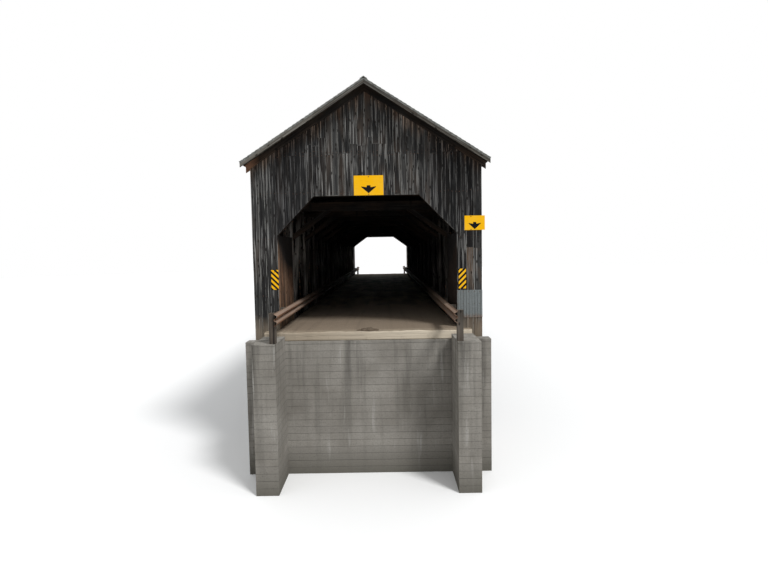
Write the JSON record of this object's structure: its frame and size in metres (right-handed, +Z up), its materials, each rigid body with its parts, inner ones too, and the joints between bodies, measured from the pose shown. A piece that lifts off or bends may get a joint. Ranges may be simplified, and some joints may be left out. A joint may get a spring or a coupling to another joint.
{
  "type": "covered bridge",
  "caption": "Weathered timber covered bridge with Howe trusses, board walls, a shingle roof, steel guard rails and concrete abutments.",
  "frame": {"origin": "on the ground below the middle of the bridge, at the feet of the abutments", "axes": "+X across the road, +Y along the road away from the near portal, +Z up"},
  "size_m": [6.61, 39.8, 10.4713],
  "materials": {
    "concrete": "weathered cast concrete with board marks and stains",
    "framing": "aged rough-sawn spruce, dry and brown-grey",
    "deck": "worn planks under a film of dirt",
    "sill": "pale worn timber",
    "boards": "bare boards weathered dark grey, with paler edges",
    "lining": "reddish-brown boards",
    "shingles": "weathered wooden shingles",
    "rods": "rusty iron",
    "rail": "galvanised steel turned to brown rust",
    "sheet": "galvanised ribbed sheet",
    "sign": "yellow sheeting on aluminium"
  },
  "bodies": {
    "root": {"abutment_near": "concrete", "abutment_far": "concrete", "bed_timbers": "framing", "bottom_chords": "framing", "top_chords": "framing", "main_braces_left": "framing", "main_braces_right": "framing", "counter_braces": "framing", "angle_blocks": "framing", "sway_posts": "framing", "sway_struts": "framing", "knee_braces": "framing", "tie_beams": "framing", "lateral_braces": "framing", "floor_beams": "framing", "stringers": "framing", "portal_posts": "framing", "portal_headers": "framing", "portal_nailers": "framing", "side_girts": "framing", "wall_plates": "framing", "rafters_left": "framing", "rafters_right": "framing", "roof_boards_left": "framing", "roof_boards_right": "framing", "rail_blocks": "framing", "deck": "deck", "sill_timbers": "sill", "siding_left": "boards", "siding_right": "boards", "near_wall_boards": "boards", "near_gable_boards": "boards", "far_wall_boards": "boards", "far_gable_boards": "boards", "rake_boards": "boards", "ridge_boards": "boards", "jamb_linings": "lining", "shingles_left": "shingles", "shingles_right": "shingles", "tension_rods": "rods", "guard_rails": "rail", "ribbed_sheet": "sheet", "clearance_signs": "sign", "hazard_markers": "sign"}
  },
  "joints": []
}
